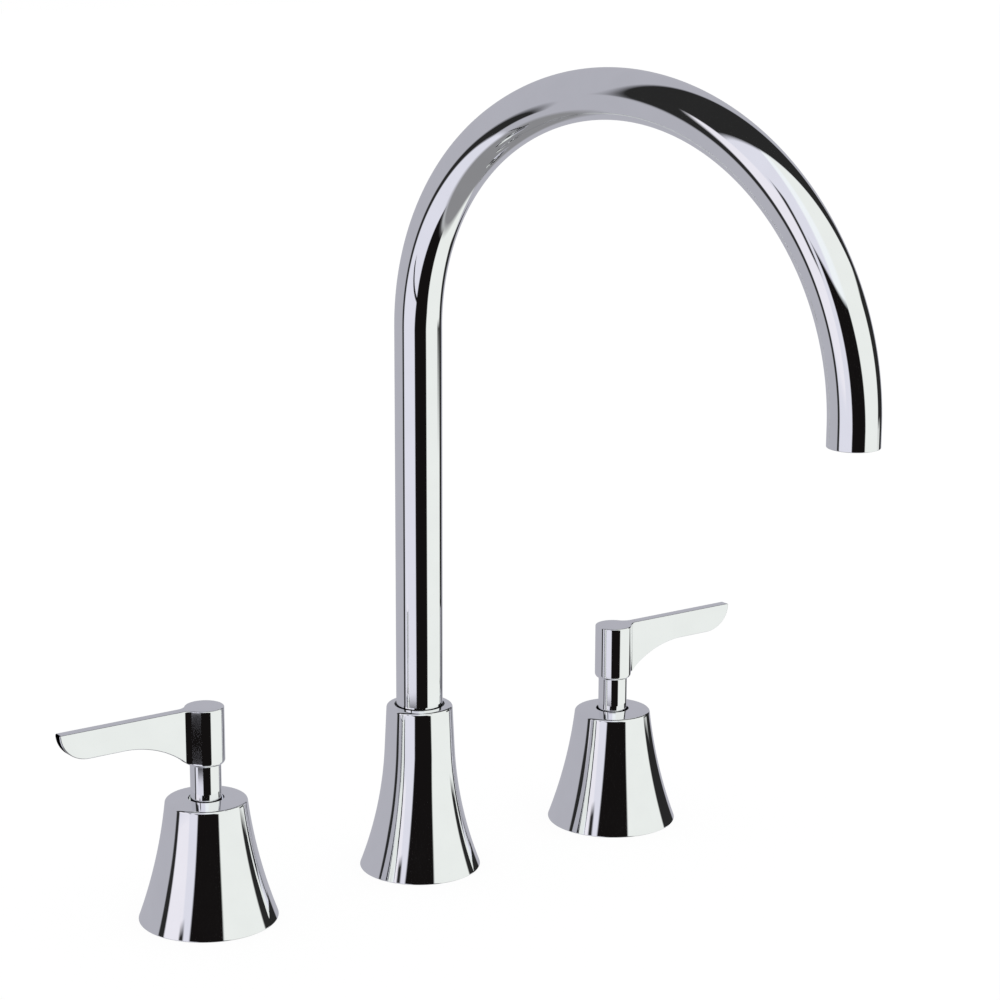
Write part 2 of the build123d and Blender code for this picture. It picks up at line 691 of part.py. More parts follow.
def spline(tip, root, low, high):
    """Serrated bar that joins the spindle and the stem."""
    corners = []
    for tooth in range(SPLINE_TEETH):
        angle = radians(tooth * 360 / SPLINE_TEETH)
        valley = angle + radians(180 / SPLINE_TEETH)
        corners += [(tip * cos(angle), tip * sin(angle)), (root * cos(valley), root * sin(valley))]
    return extrude(Plane.XY.offset(low) * make_face(Polyline(*corners, close=True)), high - low)


def spindle_ring_heights():
    """The two heights at which the spindle carries its rubber rings."""
    bearing = NECK_TOP - SHOULDER_Z
    return SHOULDER_Z + bearing / 3, NECK_TOP - bearing / 3


def spindle():
    """Brass spindle: driver bar and key below, splined end above."""
    bar = slab(2 * DISC_R, DRIVE_WIDTH, DRIVE_Z, THRUST_Z) & rod(DISC_R - DISC_PLAY, DRIVE_Z, THRUST_Z)
    key_length = 2 * (DISC_PORT_OUT - RUNNING)
    key = slab(key_length, DRIVE_KEY_WIDTH - 2 * RUNNING, DRIVE_Z - DRIVE_KEY, DRIVE_Z)
    shaft = rod(SPINDLE_R, THRUST_Z, SPLINE_Z) + spline(SPLINE_R, SPLINE_ROOT_R, SPLINE_Z, SPINDLE_TOP)
    for height in spindle_ring_heights():
        shaft -= ring(SPINDLE_GROOVE_R, SPINDLE_R + 1, height - RING_GROOVE / 2, height + RING_GROOVE / 2)
    shaft -= ring(SPINDLE_R - CLIP_DEPTH, SPINDLE_R + 1, CLIP_Z, SPLINE_Z)
    shaft -= rod(STEM_SCREW_R + RUNNING, SPINDLE_TOP - STEM_SCREW_GRIP, SPINDLE_TOP)
    return bar + key + shaft


def spindle_o_rings():
    return group(*[o_ring(SPINDLE_R, RING_SECTION, height) for height in spindle_ring_heights()])


def spindle_circlip():
    inner = SPINDLE_R - CLIP_DEPTH
    return open_clip(inner, inner + CLIP_WIDTH, CLIP_Z, SPLINE_Z)


def handle_stem():
    """Stem splined onto the spindle, with a well for its screw and a neck for the lever's hub."""
    stem = rod(STEM_R, STEM_Z, HUB_Z) + rod(NECK_R, HUB_Z, WELL_TOP)
    stem -= spline(SPLINE_R + RUNNING, SPLINE_ROOT_R + RUNNING, STEM_Z, SPINDLE_TOP + AXIAL_PLAY)
    return stem - rod(STEM_SCREW_R + RUNNING, STEM_Z, WELL_Z) - rod(STEM_WELL_R, WELL_Z, WELL_TOP)


def stem_screw():
    """Socket screw that holds the stem down on the spindle."""
    screw = rod(STEM_SCREW_R, SPINDLE_TOP - STEM_SCREW_GRIP, WELL_Z)
    screw += rod(STEM_SCREW_HEAD_R, WELL_Z, WELL_Z + STEM_SCREW_HEAD)
    socket_foot = WELL_Z + STEM_SCREW_HEAD - HEX_KEY
    socket = RegularPolygon(HEX_KEY * 3 / 4, 6, major_radius=False)
    return screw - extrude(Plane.XY.offset(socket_foot) * socket, HEX_KEY)


def blade_plan():
    """The lever seen from above: the flat blade with its root swept out to the hub."""
    side = BLADE_THICKNESS / 2
    reach = HUB_R + BLADE_ROOT_FILLET
    root_y = side + BLADE_ROOT_FILLET
    root_x = sqrt(reach**2 - root_y**2)
    touch = (root_x * HUB_R / reach, root_y * HUB_R / reach)
    far = LEVER_LENGTH + side
    return make_face([
        TangentArc((root_x, side), touch, tangent=(-1, 0)),
        Line(touch, (touch[0], -touch[1])),
        TangentArc((root_x, -side), (touch[0], -touch[1]), tangent=(-1, 0)),
        Polyline((root_x, -side), (far, -side), (far, side), (root_x, side)),
    ])


def blade_side():
    """The lever seen from its side: level top, quarter-ellipse tip, and the sweep down into the hub."""
    blade_foot = HUB_TOP - BLADE_DEPTH
    tip_start = LEVER_LENGTH - BLADE_TIP
    root = (HUB_R + BLADE_ROOT_REACH, HUB_Z + HUB_FOOT_EDGE)
    return make_face([
        Line((0, HUB_TOP), (LEVER_LENGTH, HUB_TOP)),
        EllipticalCenterArc((tip_start, HUB_TOP), BLADE_TIP, BLADE_DEPTH, 270, arc_size=90),
        Line((BLADE_SWEEP_START, blade_foot), (tip_start, blade_foot)),
        TangentArc((BLADE_SWEEP_START, blade_foot), root, tangent=(-1, 0)),
        Polyline(root, (0, root[1]), (0, HUB_TOP)),
    ])


def blade_foot_edges(lever):
    """The long lower edges of the flat blade, on both of its faces."""
    flat = BLADE_THICKNESS / 2
    on_face = lever.edges().filter_by(lambda edge: abs(abs(edge.center().Y) - flat) < RUNNING)
    return on_face.filter_by(lambda edge: edge.center().Z < HUB_TOP - LEVER_EDGE and edge.center().X > HUB_R * 2)


def lever_handle():
    """Cylindrical hub with a thin upright blade, and the blind bore for the stem's neck."""
    hub = rod(HUB_R, HUB_Z, HUB_TOP)
    hub = fillet(rims(hub)[0], HUB_FOOT_EDGE)
    plan = extrude(Plane.XY.offset(HUB_Z) * blade_plan(), HUB_HEIGHT)
    lever = hub + (plan & extrude(Plane.XZ.offset(-HUB_R) * blade_side(), HUB_OD))
    lever = fillet([*lever.edges().group_by(Axis.Z)[-1], *blade_foot_edges(lever)], LEVER_EDGE)
    lever -= rod(NECK_R + RUNNING, HUB_Z, WELL_TOP + AXIAL_PLAY)
    return lever - Pos(0, HUB_R, GRUB_Z) * Rot(90, 0, 0) * Cylinder(GRUB_R, HUB_OD)


def grub_screw():
    """Set screw that bears on the stem's neck from the back of the hub."""
    length = HUB_R - GRUB_INSET - NECK_R
    screw = Cylinder(GRUB_R, length) - Pos(0, 0, length / 2) * extrude(
        RegularPolygon(HEX_KEY / 2, 6, major_radius=False), -HEX_KEY_DEPTH)
    return Pos(0, NECK_R + length / 2, GRUB_Z) * Rot(-90, 0, 0) * screw


# The whole mixer

def place_spout(shape):
    """Turns a form drawn with the bend towards +X to where the spout points."""
    return Rot(0, 0, SPOUT_AZIMUTH) * shape


def spout_nodes():
    """Every node of the spout and of what holds it."""
    turning = {
        "spout_tube": spout_tube(),
        "spout_swivel_tail": swivel_tail(),
        "spout_swivel_o_rings": swivel_o_rings(),
        "spout_swivel_circlip": swivel_circlip(),
        "outlet_bush": outlet_bush(),
        "aerator_seal": aerator_seal(),
        "aerator_housing": aerator_housing(),
        "aerator_screen": aerator_screen(),
        "aerator_flow_disc": aerator_flow_disc(),
    }
    standing = {
        "spout_flared_base": flared_shell(),
        "spout_base_seal": foot_seal(FLARE_FOOT_R),
        "spout_core": spout_core(),
        "spout_core_gasket": deck_gasket(),
        "spout_guide_bush": guide_bush(),
        "spout_thrust_ring": swivel_thrust_ring(),
    }
    return {name: place_spout(shape) for name, shape in turning.items()} | standing


def valve_pieces():
    """Every piece of one valve, drawn about its own axis."""
    return {
        "bell": bell(),
        "bell_seal": foot_seal(BELL_FOOT_R),
        "valve_body": valve_body(),
        "valve_top_nut": top_nut(),
        "valve_gasket": deck_gasket(),
        "headwork": headwork(),
        "headwork_washer": headwork_washer(),
        "fixed_disc": fixed_disc(),
        "disc_seal": disc_seal(),
        "thrust_washer": spindle_thrust_washer(),
        "moving_disc": moving_disc(),
        "spindle": spindle(),
        "spindle_o_rings": spindle_o_rings(),
        "spindle_circlip": spindle_circlip(),
        "handle_stem": handle_stem(),
        "stem_screw": stem_screw(),
        "lever_handle": lever_handle(),
        "handle_grub_screw": grub_screw(),
    }


def mirrored(shape):
    """The same piece for the valve on -X."""
    return mirror(shape, Plane.YZ)


def all_nodes():
    """Every node by name, in place."""
    nodes = spout_nodes()
    for piece, shape in valve_pieces().items():
        right = Pos(VALVE_X, 0, 0) * shape
        nodes["right_" + piece] = right
        nodes["left_" + piece] = mirrored(right)
    nodes["deck_rubber_washers"] = at_three_holes(rubber_washer())
    nodes["deck_steel_washers"] = at_three_holes(steel_washer())
    nodes["deck_backnuts"] = at_three_holes(backnut())
    nodes["breech_tee"] = breech_tee()
    nodes["breech_tee_washer"] = tee_washer()
    nodes["right_breech_pipe"] = breech_pipe()
    nodes["left_breech_pipe"] = mirrored(breech_pipe())
    nuts = union_nuts()
    washers = union_washers()
    nodes["breech_union_nuts"] = group(*nuts, *[mirrored(nut) for nut in nuts])
    nodes["breech_union_washers"] = group(*washers, *[mirrored(washer) for washer in washers])
    return nodes


os.makedirs("parts", exist_ok=True)
for name, shape in all_nodes().items():
    export_step(shape, f"parts/{name}.step")
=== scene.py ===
"""Looks of the two-handle basin mixer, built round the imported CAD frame.

Sizes are in millimetres about each piece's own axis, as in the part's source, and become metres in the mesh.
The visible chrome pieces are drawn again here with exact normals, because a mirror shows every facet.
"""

import json
import math

import bpy
import numpy as np
from mathutils import Matrix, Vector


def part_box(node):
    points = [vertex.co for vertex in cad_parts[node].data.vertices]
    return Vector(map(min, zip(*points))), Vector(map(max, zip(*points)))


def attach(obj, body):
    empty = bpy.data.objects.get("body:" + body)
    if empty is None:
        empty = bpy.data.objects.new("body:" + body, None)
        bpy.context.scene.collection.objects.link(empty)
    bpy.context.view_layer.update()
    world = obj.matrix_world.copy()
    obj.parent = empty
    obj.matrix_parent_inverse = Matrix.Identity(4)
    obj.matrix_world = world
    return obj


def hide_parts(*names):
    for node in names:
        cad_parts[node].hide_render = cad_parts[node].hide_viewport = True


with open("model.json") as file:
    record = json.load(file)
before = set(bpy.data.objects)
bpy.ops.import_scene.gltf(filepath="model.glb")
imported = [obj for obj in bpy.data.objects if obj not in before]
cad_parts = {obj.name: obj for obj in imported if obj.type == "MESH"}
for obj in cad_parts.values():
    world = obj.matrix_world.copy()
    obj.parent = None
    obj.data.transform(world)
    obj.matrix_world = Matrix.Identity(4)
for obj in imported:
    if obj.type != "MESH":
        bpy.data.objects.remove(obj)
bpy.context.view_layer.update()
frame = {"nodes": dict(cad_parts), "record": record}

# Sizes of the part that the chrome pieces need
VALVE_X = 100.0
SPOUT_AZIMUTH = math.radians(-77.7)
TUBE_R = 9.5
TUBE_BORE_R = 8.3
RISER_TOP = 226.0
REAR_R = 95.2
REAR_ANGLE = math.radians(56.2)
ARCH_R = 107.7
ARCH_X = REAR_R + (ARCH_R - REAR_R) * math.cos(REAR_ANGLE)
ARCH_Z = RISER_TOP - (ARCH_R - REAR_R) * math.sin(REAR_ANGLE)
OUTLET_X = ARCH_X + ARCH_R
OUTLET_DROP = 7.3
OUTLET_Z = ARCH_Z - OUTLET_DROP
OUTLET_EDGE = 0.3
TUBE_FOOT = 54.3
FLARE_TOP = 69.8
FLARE_CROWN = 0.5
FLARE_FOOT_R = 25.0
FLARE_WAIST = (14.4, 50.6)
FLARE_TOP_R = 13.5
FLARE_EDGE = 1.3
FLARE_MOUTH_R = 10.3
FLARE_LIP_Z = 67.8
FLARE_BORE_R = 12.0
FLARE_BORE_Z = 44.1
BELL_TOP = 49.7
BELL_CROWN = 0.9
BELL_FOOT_R = 27.6
BELL_TOP_R = 16.1
BELL_ARC = 210.0
BELL_EDGE = 1.2
BELL_MOUTH_R = 7.0
BELL_CEILING = 46.9
BOSS_R = 12.65
BOSS_BORE_R = 10.05
BOSS_FOOT = 29.2
SHELL_WALL = 2.2
FOOT_LAND = 2.4
FOOT_SEAL = 1.6
FOOT_EDGE = 0.3
MOUTH_EDGE = 0.3
STEM_R = 6.1
STEM_FOOT = 39.4
STEM_BORE_R = 3.9
STEM_BORE_TOP = 49.9
STEM_SCREW_BORE_R = 2.05
WELL_R = 3.5
WELL_DEPTH = 16.0
NECK_R = 4.9
NECK_TOP = 76.5
HUB_R = 7.75
HUB_Z = 63.5
HUB_TOP = 86.7
LEVER_END = 62.5
LEVER_EDGE = 0.5
GRUB_Z = 70.0
GRUB_R = 2.0
MM = 0.001


# Profiles in (radius, height)

def unit(angle):
    return np.array([math.cos(angle), math.sin(angle)])


class Run:
    """A straight line from start to end, or the arc between them that leaves start along tangent."""

    def __init__(self, start, end, tangent=None):
        self.start = np.array(start, float)
        chord = np.array(end, float) - self.start
        self.chord = math.hypot(*chord)
        bearing = math.atan2(chord[1], chord[0])
        self.leave = bearing if tangent is None else math.atan2(tangent[1], tangent[0])
        self.half = (bearing - self.leave + math.pi) % (2 * math.pi) - math.pi
        self.length = self.chord if abs(self.half) < 1e-9 else self.chord * self.half / math.sin(self.half)

    def at(self, share):
        """The point and the direction of travel at a share of the way."""
        reach = self.chord * share
        if abs(self.half) > 1e-9:
            reach = self.chord * math.sin(self.half * share) / math.sin(self.half)
        point = self.start + reach * unit(self.leave + self.half * share)
        return point, unit(self.leave + 2 * self.half * share)

    def sample(self, low, high):
        count = 2 + int(abs(self.half) * (high - low) / math.radians(0.5))
        found = [self.at(share) for share in np.linspace(low, high, count)]
        return np.array([p for p, t in found]), np.array([t for p, t in found])


def arriving(start, end, tangent):
    """The arc from start that reaches end along tangent."""
    bearing = math.atan2(end[1] - start[1], end[0] - start[0])
    leave = 2 * bearing - math.atan2(tangent[1], tangent[0])
    return Run(start, end, unit(leave))


def dome(edge, apex, mouth):
    """The run of a shallow dome from its edge in to the radius of its mouth."""
    centre = apex - (edge[0] ** 2 + (apex - edge[1]) ** 2) / (2 * (apex - edge[1]))
    end = (mouth, centre + math.sqrt((apex - centre) ** 2 - mouth**2))
    return Run(edge, end, (centre - edge[1], edge[0]))


def bend(start, end, radius):
    """A rounding between two (point, direction) pairs."""
    turn = math.acos(max(-1.0, min(1.0, float(start[1] @ end[1]))))
    pull = 4 / 3 * math.tan(turn / 4) * radius
    a, b = start[0], start[0] + pull * start[1]
    c, d = end[0] - pull * end[1], end[0]
    t = np.linspace(0, 1, 13)[:, None]
    points = (1 - t) ** 3 * a + 3 * (1 - t) ** 2 * t * b + 3 * (1 - t) * t**2 * c + t**3 * d
    slopes = (1 - t) ** 2 * (b - a) + 2 * (1 - t) * t * (c - b) + t**2 * (d - c)
    return points, slopes / np.linalg.norm(slopes, axis=1)[:, None]


def outline(*steps):
    """Samples a closed chain of runs. A number between two runs rounds their corner by that radius."""
    runs, radii = [], []
    for step in steps:
        if isinstance(step, Run):
            runs.append(step)
            radii.append(0.0)
        else:
            radii[-1] = step
    low, high, bends = [0.0] * len(runs), [1.0] * len(runs), {}
    for i, radius in enumerate(radii):
        if radius:
            j = (i + 1) % len(runs)
            turn = math.acos(float(runs[i].at(1)[1] @ runs[j].at(0)[1]))
            trim = radius * math.tan(turn / 2)
            high[i] = 1 - trim / runs[i].length
            low[j] = trim / runs[j].length
            bends[i] = radius
    strips = []
    for i, run in enumerate(runs):
        strips.append(run.sample(low[i], high[i]))
        if i in bends:
            j = (i + 1) % len(runs)
            strips.append(bend(run.at(high[i]), runs[j].at(low[j]), bends[i]))
    return strips


def polyline(*points):
    return [Run(a, b) for a, b in zip(points, points[1:])]


# Meshes with a normal for each corner

TUBE_SPANS = 160
BORE_SPANS = 60
REAR_STEPS = 75
ARCH_STEPS = 164


class Skin:
    """Grids and flat faces that become one mesh, welded where their corners meet."""

    def __init__(self):
        self.points, self.normals, self.faces, self.count = [], [], [], 0

    def grid(self, points, normals):
        """A grid of quads. Its rows and then its columns turn anticlockwise as seen from outside."""
        rows, columns = points.shape[:2]
        number = self.count + np.arange(rows * columns).reshape(rows, columns)
        quads = [number[:-1, :-1], number[:-1, 1:], number[1:, 1:], number[1:, :-1]]
        self.faces += np.stack(quads, -1).reshape(-1, 4).tolist()
        self.add(points.reshape(-1, 3), normals.reshape(-1, 3))

    def flat(self, points, normal):
        self.faces.append(list(range(self.count, self.count + len(points))))
        self.add(np.asarray(points, float), np.tile(np.array(normal, float), (len(points), 1)))

    def add(self, points, normals):
        self.points.append(points)
        self.normals.append(normals / np.linalg.norm(normals, axis=1)[:, None])
        self.count += len(points)

    def lathe(self, strips, centre=(0.0, 0.0), spans=TUBE_SPANS):
        """Turns strips of (points, directions) about a vertical axis, with the solid on their left."""
        angle = np.linspace(0, 2 * math.pi, spans + 1)
        across = np.stack([np.cos(angle), np.sin(angle)], -1)
        for points, slopes in strips:
            place = np.concatenate([points[:, None, :1] * across, np.broadcast_to(
                points[:, None, 1:], (len(points), spans + 1, 1))], -1)
            out = np.concatenate([slopes[:, None, 1:] * across, np.broadcast_to(
                -slopes[:, None, :1], (len(points), spans + 1, 1))], -1)
            self.grid(place + np.array([centre[0], centre[1], 0.0]), out)

    def build(self, name, body, slot, material, place=(0.0, 0.0, 0.0), flip=False):
        """Makes the object in metres, on its body, in place of the CAD node of its name."""
        points = np.concatenate(self.points)
        normals = np.concatenate(self.normals)
        if flip:
            points = points * (-1, 1, 1)
            normals = normals * (-1, 1, 1)
        weld, number = np.unique(np.round(points, 4), axis=0, return_inverse=True)
        number = number.reshape(-1)
        faces, corners = [], []
        for face in self.faces:
            kept = [c for i, c in enumerate(face) if number[c] != number[face[i - 1]]]
            if len(kept) > 2:
                kept = kept[::-1] if flip else kept
                faces.append([int(number[c]) for c in kept])
                corners += kept
        mesh = bpy.data.meshes.new(name)
        mesh.from_pydata(((weld + np.array(place)) * MM).tolist(), [], faces)
        mesh.polygons.foreach_set("use_smooth", [True] * len(faces))
        mesh.normals_split_custom_set(normals[corners].tolist())
        mesh.materials.append(material)
        obj = bpy.data.objects.new(name + "_polished", mesh)
        bpy.context.scene.collection.objects.link(obj)
        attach(obj, body)
        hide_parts(name)
        return obj


# Materials

NOISE_LOW = 0.3
NOISE_HIGH = 0.7


def material(name, colour, metallic, roughness):
    """A new node material with its main values set on the shader itself."""
    made = bpy.data.materials.new(name)
    made.use_nodes = True
    shader = made.node_tree.nodes["Principled BSDF"]
    shader.inputs["Base Color"].default_value = (*colour, 1)
    shader.inputs["Metallic"].default_value = metallic
    shader.inputs["Roughness"].default_value = roughness
    return made, made.node_tree, shader


def noise(tree, scale, detail=3.0, stretch=(1, 1, 1)):
    """Noise in the object's own metres, drawn out along an axis by its stretch."""
    place = tree.nodes.new("ShaderNodeTexCoord")
    mapping = tree.nodes.new("ShaderNodeMapping")
    mapping.inputs["Scale"].default_value = stretch
    texture = tree.nodes.new("ShaderNodeTexNoise")
    texture.inputs["Scale"].default_value = scale
    texture.inputs["Detail"].default_value = detail
    tree.links.new(place.outputs["Object"], mapping.inputs["Vector"])
    tree.links.new(mapping.outputs["Vector"], texture.inputs["Vector"])
    return texture.outputs["Fac"]


def spread(tree, factor, low, high):
    """Turns a factor of 0 to 1 into a value between low and high."""
    ramp = tree.nodes.new("ShaderNodeMapRange")
    ramp.inputs["From Min"].default_value = NOISE_LOW
    ramp.inputs["From Max"].default_value = NOISE_HIGH
    ramp.inputs["To Min"].default_value = low
    ramp.inputs["To Max"].default_value = high
    tree.links.new(factor, ramp.inputs["Value"])
    return ramp.outputs["Result"]


def tint(tree, factor, dark, light):
    """A colour between two by a factor."""
    ramp = tree.nodes.new("ShaderNodeValToRGB")
    ramp.color_ramp.elements[0].position = NOISE_LOW
    ramp.color_ramp.elements[0].color = (*dark, 1)
    ramp.color_ramp.elements[1].position = NOISE_HIGH
    ramp.color_ramp.elements[1].color = (*light, 1)
    tree.links.new(factor, ramp.inputs["Fac"])
    return ramp.outputs["Color"]


def bump(tree, shader, factor, strength, depth):
    node = tree.nodes.new("ShaderNodeBump")
    node.inputs["Strength"].default_value = strength
    node.inputs["Distance"].default_value = depth
    tree.links.new(factor, node.inputs["Height"])
    tree.links.new(node.outputs["Normal"], shader.inputs["Normal"])


def make_chrome():
    made, tree, shader = material("chrome_plate", (0.93, 0.935, 0.945), 1.0, 0.03)
    haze = noise(tree, 90, 4)
    tree.links.new(spread(tree, haze, 0.018, 0.04), shader.inputs["Roughness"])
    tree.links.new(tint(tree, haze, (0.915, 0.92, 0.93), (0.94, 0.945, 0.955)), shader.inputs["Base Color"])
    return made


def make_metal(name, dark, light, rough, fine, lines=(1, 1, 1)):
    """Cut or drawn metal: fine tool marks and a slow change of tone."""
    made, tree, shader = material(name, light, 1.0, rough[0])
    tone = noise(tree, 60, 4)
    marks = noise(tree, fine, 2, lines)
    tree.links.new(tint(tree, tone, dark, light), shader.inputs["Base Color"])
    tree.links.new(spread(tree, marks, *rough), shader.inputs["Roughness"])
    bump(tree, shader, marks, 0.25, 0.00004)
    return made


def make_matte(name, dark, light, rough, fine, depth):
    """Rubber, plastic, fibre or ceramic: a fine grain and a slight change of tone."""
    made, tree, shader = material(name, light, 0.0, rough[0])
    grain = noise(tree, fine, 5)
    tone = noise(tree, fine / 12, 3)
    tree.links.new(tint(tree, tone, dark, light), shader.inputs["Base Color"])
    tree.links.new(spread(tree, grain, *rough), shader.inputs["Roughness"])
    bump(tree, shader, grain, 0.4, depth)
    return made


chrome = make_chrome()
finishes = {
    "chrome": chrome,
    "brass": make_metal(
        "turned_brass", (0.56, 0.38, 0.14), (0.72, 0.52, 0.23), (0.2, 0.34), 900, (1, 1, 14)),
    "steel": make_metal(
        "zinc_steel", (0.52, 0.53, 0.55), (0.66, 0.67, 0.69), (0.24, 0.4), 1400),
    "copper": make_metal(
        "drawn_copper", (0.62, 0.29, 0.16), (0.78, 0.42, 0.26), (0.16, 0.3), 700, (1, 12, 12)),
    "rubber": make_matte(
        "black_rubber", (0.018, 0.018, 0.019), (0.035, 0.035, 0.036), (0.6, 0.8), 2600, 0.00005),
    "fibre": make_matte(
        "red_fibre", (0.30, 0.065, 0.045), (0.44, 0.11, 0.075), (0.7, 0.9), 1900, 0.00008),
    "acetal": make_matte(
        "white_acetal", (0.74, 0.74, 0.71), (0.82, 0.82, 0.79), (0.35, 0.5), 1200, 0.00003),
    "black_acetal": make_matte(
        "black_acetal", (0.012, 0.012, 0.013), (0.02, 0.02, 0.021), (0.4, 0.55), 1200, 0.00003),
    "disc_ceramic": make_matte(
        "lapped_ceramic", (0.82, 0.81, 0.77), (0.88, 0.87, 0.84), (0.12, 0.22), 3000, 0.00001),
}
for row in frame["record"]["subparts"]:
    node = frame["nodes"][row["node"]]
    node.data.materials.clear()
    # The bush in the flare's mouth is given black acetal in place of its own finish: painted shade, so the
    # gap round the tube reads as a dark ring
    finish = "black_acetal" if row["node"] == "spout_guide_bush" else row["material_slot"]
    node.data.materials.append(finishes[finish])
    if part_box(row["node"])[0][2] < -MM:
        node.visible_glossy = False  # the deck keeps it out of the chrome's reflections


# Spout tube

def spout_tube():
    """The tube's two walls along riser, bend of two arcs and short end, and the rim of the outlet."""
    skin = Skin()
    along = np.array([math.cos(SPOUT_AZIMUTH), math.sin(SPOUT_AZIMUTH), 0.0])
    up = np.array([0.0, 0.0, 1.0])
    side = np.cross(up, along)
    stations = [(TUBE_FOOT * up, along), (RISER_TOP * up, along)]
    for turn in np.linspace(0, REAR_ANGLE, REAR_STEPS + 1)[1:]:
        inward = math.cos(turn) * along - math.sin(turn) * up
        stations.append((REAR_R * along + RISER_TOP * up - REAR_R * inward, inward))
    for turn in np.linspace(REAR_ANGLE, math.pi, ARCH_STEPS + 1)[1:]:
        inward = math.cos(turn) * along - math.sin(turn) * up
        stations.append((ARCH_X * along + ARCH_Z * up - ARCH_R * inward, inward))
    end = OUTLET_X * along
    stations.append((end + (OUTLET_Z + OUTLET_EDGE) * up, -along))
    centre = np.array([c for c, e in stations])[:, None]
    inward = np.array([e for c, e in stations])[:, None]
    angle = np.linspace(0, 2 * math.pi, TUBE_SPANS + 1)[None, :, None]
    outer = np.cos(angle) * inward + np.sin(angle) * side
    skin.grid(centre + TUBE_R * outer, outer)
    angle = np.linspace(2 * math.pi, 0, BORE_SPANS + 1)[None, :, None]
    inner = np.cos(angle) * inward + np.sin(angle) * side
    skin.grid(centre + TUBE_BORE_R * inner, -inner)
    rounded = outline(
        Run((TUBE_BORE_R, OUTLET_Z + OUTLET_EDGE), (TUBE_BORE_R, OUTLET_Z)),
        Run((TUBE_BORE_R, OUTLET_Z), (TUBE_R, OUTLET_Z)), OUTLET_EDGE,
        Run((TUBE_R, OUTLET_Z), (TUBE_R, OUTLET_Z + 2 * OUTLET_EDGE)))
    skin.lathe(rounded[:-1], end)
    skin.lathe(outline(Run((TUBE_R, TUBE_FOOT), (TUBE_BORE_R, TUBE_FOOT)))[::-1])
    return skin


# Turned chrome pieces

def seal_ledge(cavity):
    """Where the wall of a cavity, walked down, meets the recess for the foot seal."""
    share = next(s for s in np.linspace(0.8, 1, 2001) if cavity.at(s)[0][1] <= FOOT_SEAL)
    return cavity.at(share)[0]


def flared_base():
    foot, top = (FLARE_FOOT_R, 0), (FLARE_TOP_R, FLARE_TOP - FLARE_CROWN)
    recess_r = FLARE_FOOT_R - FOOT_LAND
    bore = (FLARE_BORE_R, FLARE_BORE_Z)
    crown = dome(top, FLARE_TOP, FLARE_MOUTH_R)
    ledge = seal_ledge(Run(bore, (recess_r, 0), (0, -1)))
    skin = Skin()
    skin.lathe(outline(
        Run((recess_r, 0), foot), FOOT_EDGE,
        arriving(foot, FLARE_WAIST, (top[0] - FLARE_WAIST[0], top[1] - FLARE_WAIST[1])),
        Run(FLARE_WAIST, top), FLARE_EDGE,
        crown,
        *polyline(crown.at(1)[0], (FLARE_MOUTH_R, FLARE_LIP_Z), (FLARE_BORE_R, FLARE_LIP_Z), bore),
        Run(bore, ledge, (0, -1)),
        *polyline(ledge, (recess_r, ledge[1]), (recess_r, 0))))
    return skin


def bowed(foot, top, radius):
    """The arc from foot up to top that bows towards the axis."""
    chord = math.hypot(top[0] - foot[0], top[1] - foot[1])
    bearing = math.atan2(top[1] - foot[1], top[0] - foot[0])
    return Run(foot, top, unit(bearing + math.asin(chord / 2 / radius)))


def backwards(run):
    """The same run walked from its end to its start."""
    return Run(run.at(1)[0], run.start, -run.at(1)[1])


def bell():
    foot, top = (BELL_FOOT_R, 0), (BELL_TOP_R, BELL_TOP - BELL_CROWN)
    recess_r = BELL_FOOT_R - FOOT_LAND
    ceiling_r = BELL_TOP_R - SHELL_WALL
    crown = dome(top, BELL_TOP, BELL_MOUTH_R)
    cavity = backwards(bowed((recess_r, 0), (ceiling_r, BELL_CEILING), BELL_ARC))
    ledge = seal_ledge(cavity)
    skin = Skin()
    skin.lathe(outline(
        Run((recess_r, 0), foot), FOOT_EDGE,
        bowed(foot, top, BELL_ARC), BELL_EDGE,
        crown, MOUTH_EDGE,
        *polyline(
            crown.at(1)[0], (BELL_MOUTH_R, BELL_CEILING), (BOSS_BORE_R, BELL_CEILING),
            (BOSS_BORE_R, BOSS_FOOT), (BOSS_R, BOSS_FOOT), (BOSS_R, BELL_CEILING), (ceiling_r, BELL_CEILING)),
        Run(cavity.start, ledge, cavity.at(0)[1]),
        *polyline(ledge, (recess_r, ledge[1]), (recess_r, 0))))
    return skin


def handle_stem():
    """The stem, with a plain bore where the solid has splines."""
    well_foot = NECK_TOP - WELL_DEPTH
    skin = Skin()
    skin.lathe(outline(*polyline(
        (STEM_BORE_R, STEM_FOOT), (STEM_R, STEM_FOOT), (STEM_R, HUB_Z), (NECK_R, HUB_Z), (NECK_R, NECK_TOP),
        (WELL_R, NECK_TOP), (WELL_R, well_foot), (STEM_SCREW_BORE_R, well_foot),
        (STEM_SCREW_BORE_R, STEM_BORE_TOP), (STEM_BORE_R, STEM_BORE_TOP), (STEM_BORE_R, STEM_FOOT))),
        spans=120)
    return skin


# Lever handle, drawn along +X

BLADE_HALF = 2.2
BLADE_DEPTH = 11.1
BLADE_FOOT = HUB_TOP - BLADE_DEPTH
BLADE_TIP = 12.0
HUB_FOOT_EDGE = 1.8
WALL_FOOT = HUB_Z + HUB_FOOT_EDGE
WALL_TOP = HUB_TOP - LEVER_EDGE
SWEEP_START = 36.0
ROOT_REACH = 1.25
SWEEP_ROOT = HUB_R + ROOT_REACH
SWEEP_EASE = 2.0
ROOT_FILLET = 5.0
ROOT_X = math.sqrt((HUB_R + ROOT_FILLET) ** 2 - (BLADE_HALF + ROOT_FILLET) ** 2)
TOUCH = math.atan2(BLADE_HALF + ROOT_FILLET, ROOT_X)
TOUCH_X = HUB_R * math.cos(TOUCH)
RUNNING = 0.05
BORE_SPARE = 0.2
BORE_R = NECK_R + RUNNING
BORE_TOP = NECK_TOP + BORE_SPARE
WINDOW = 3.2
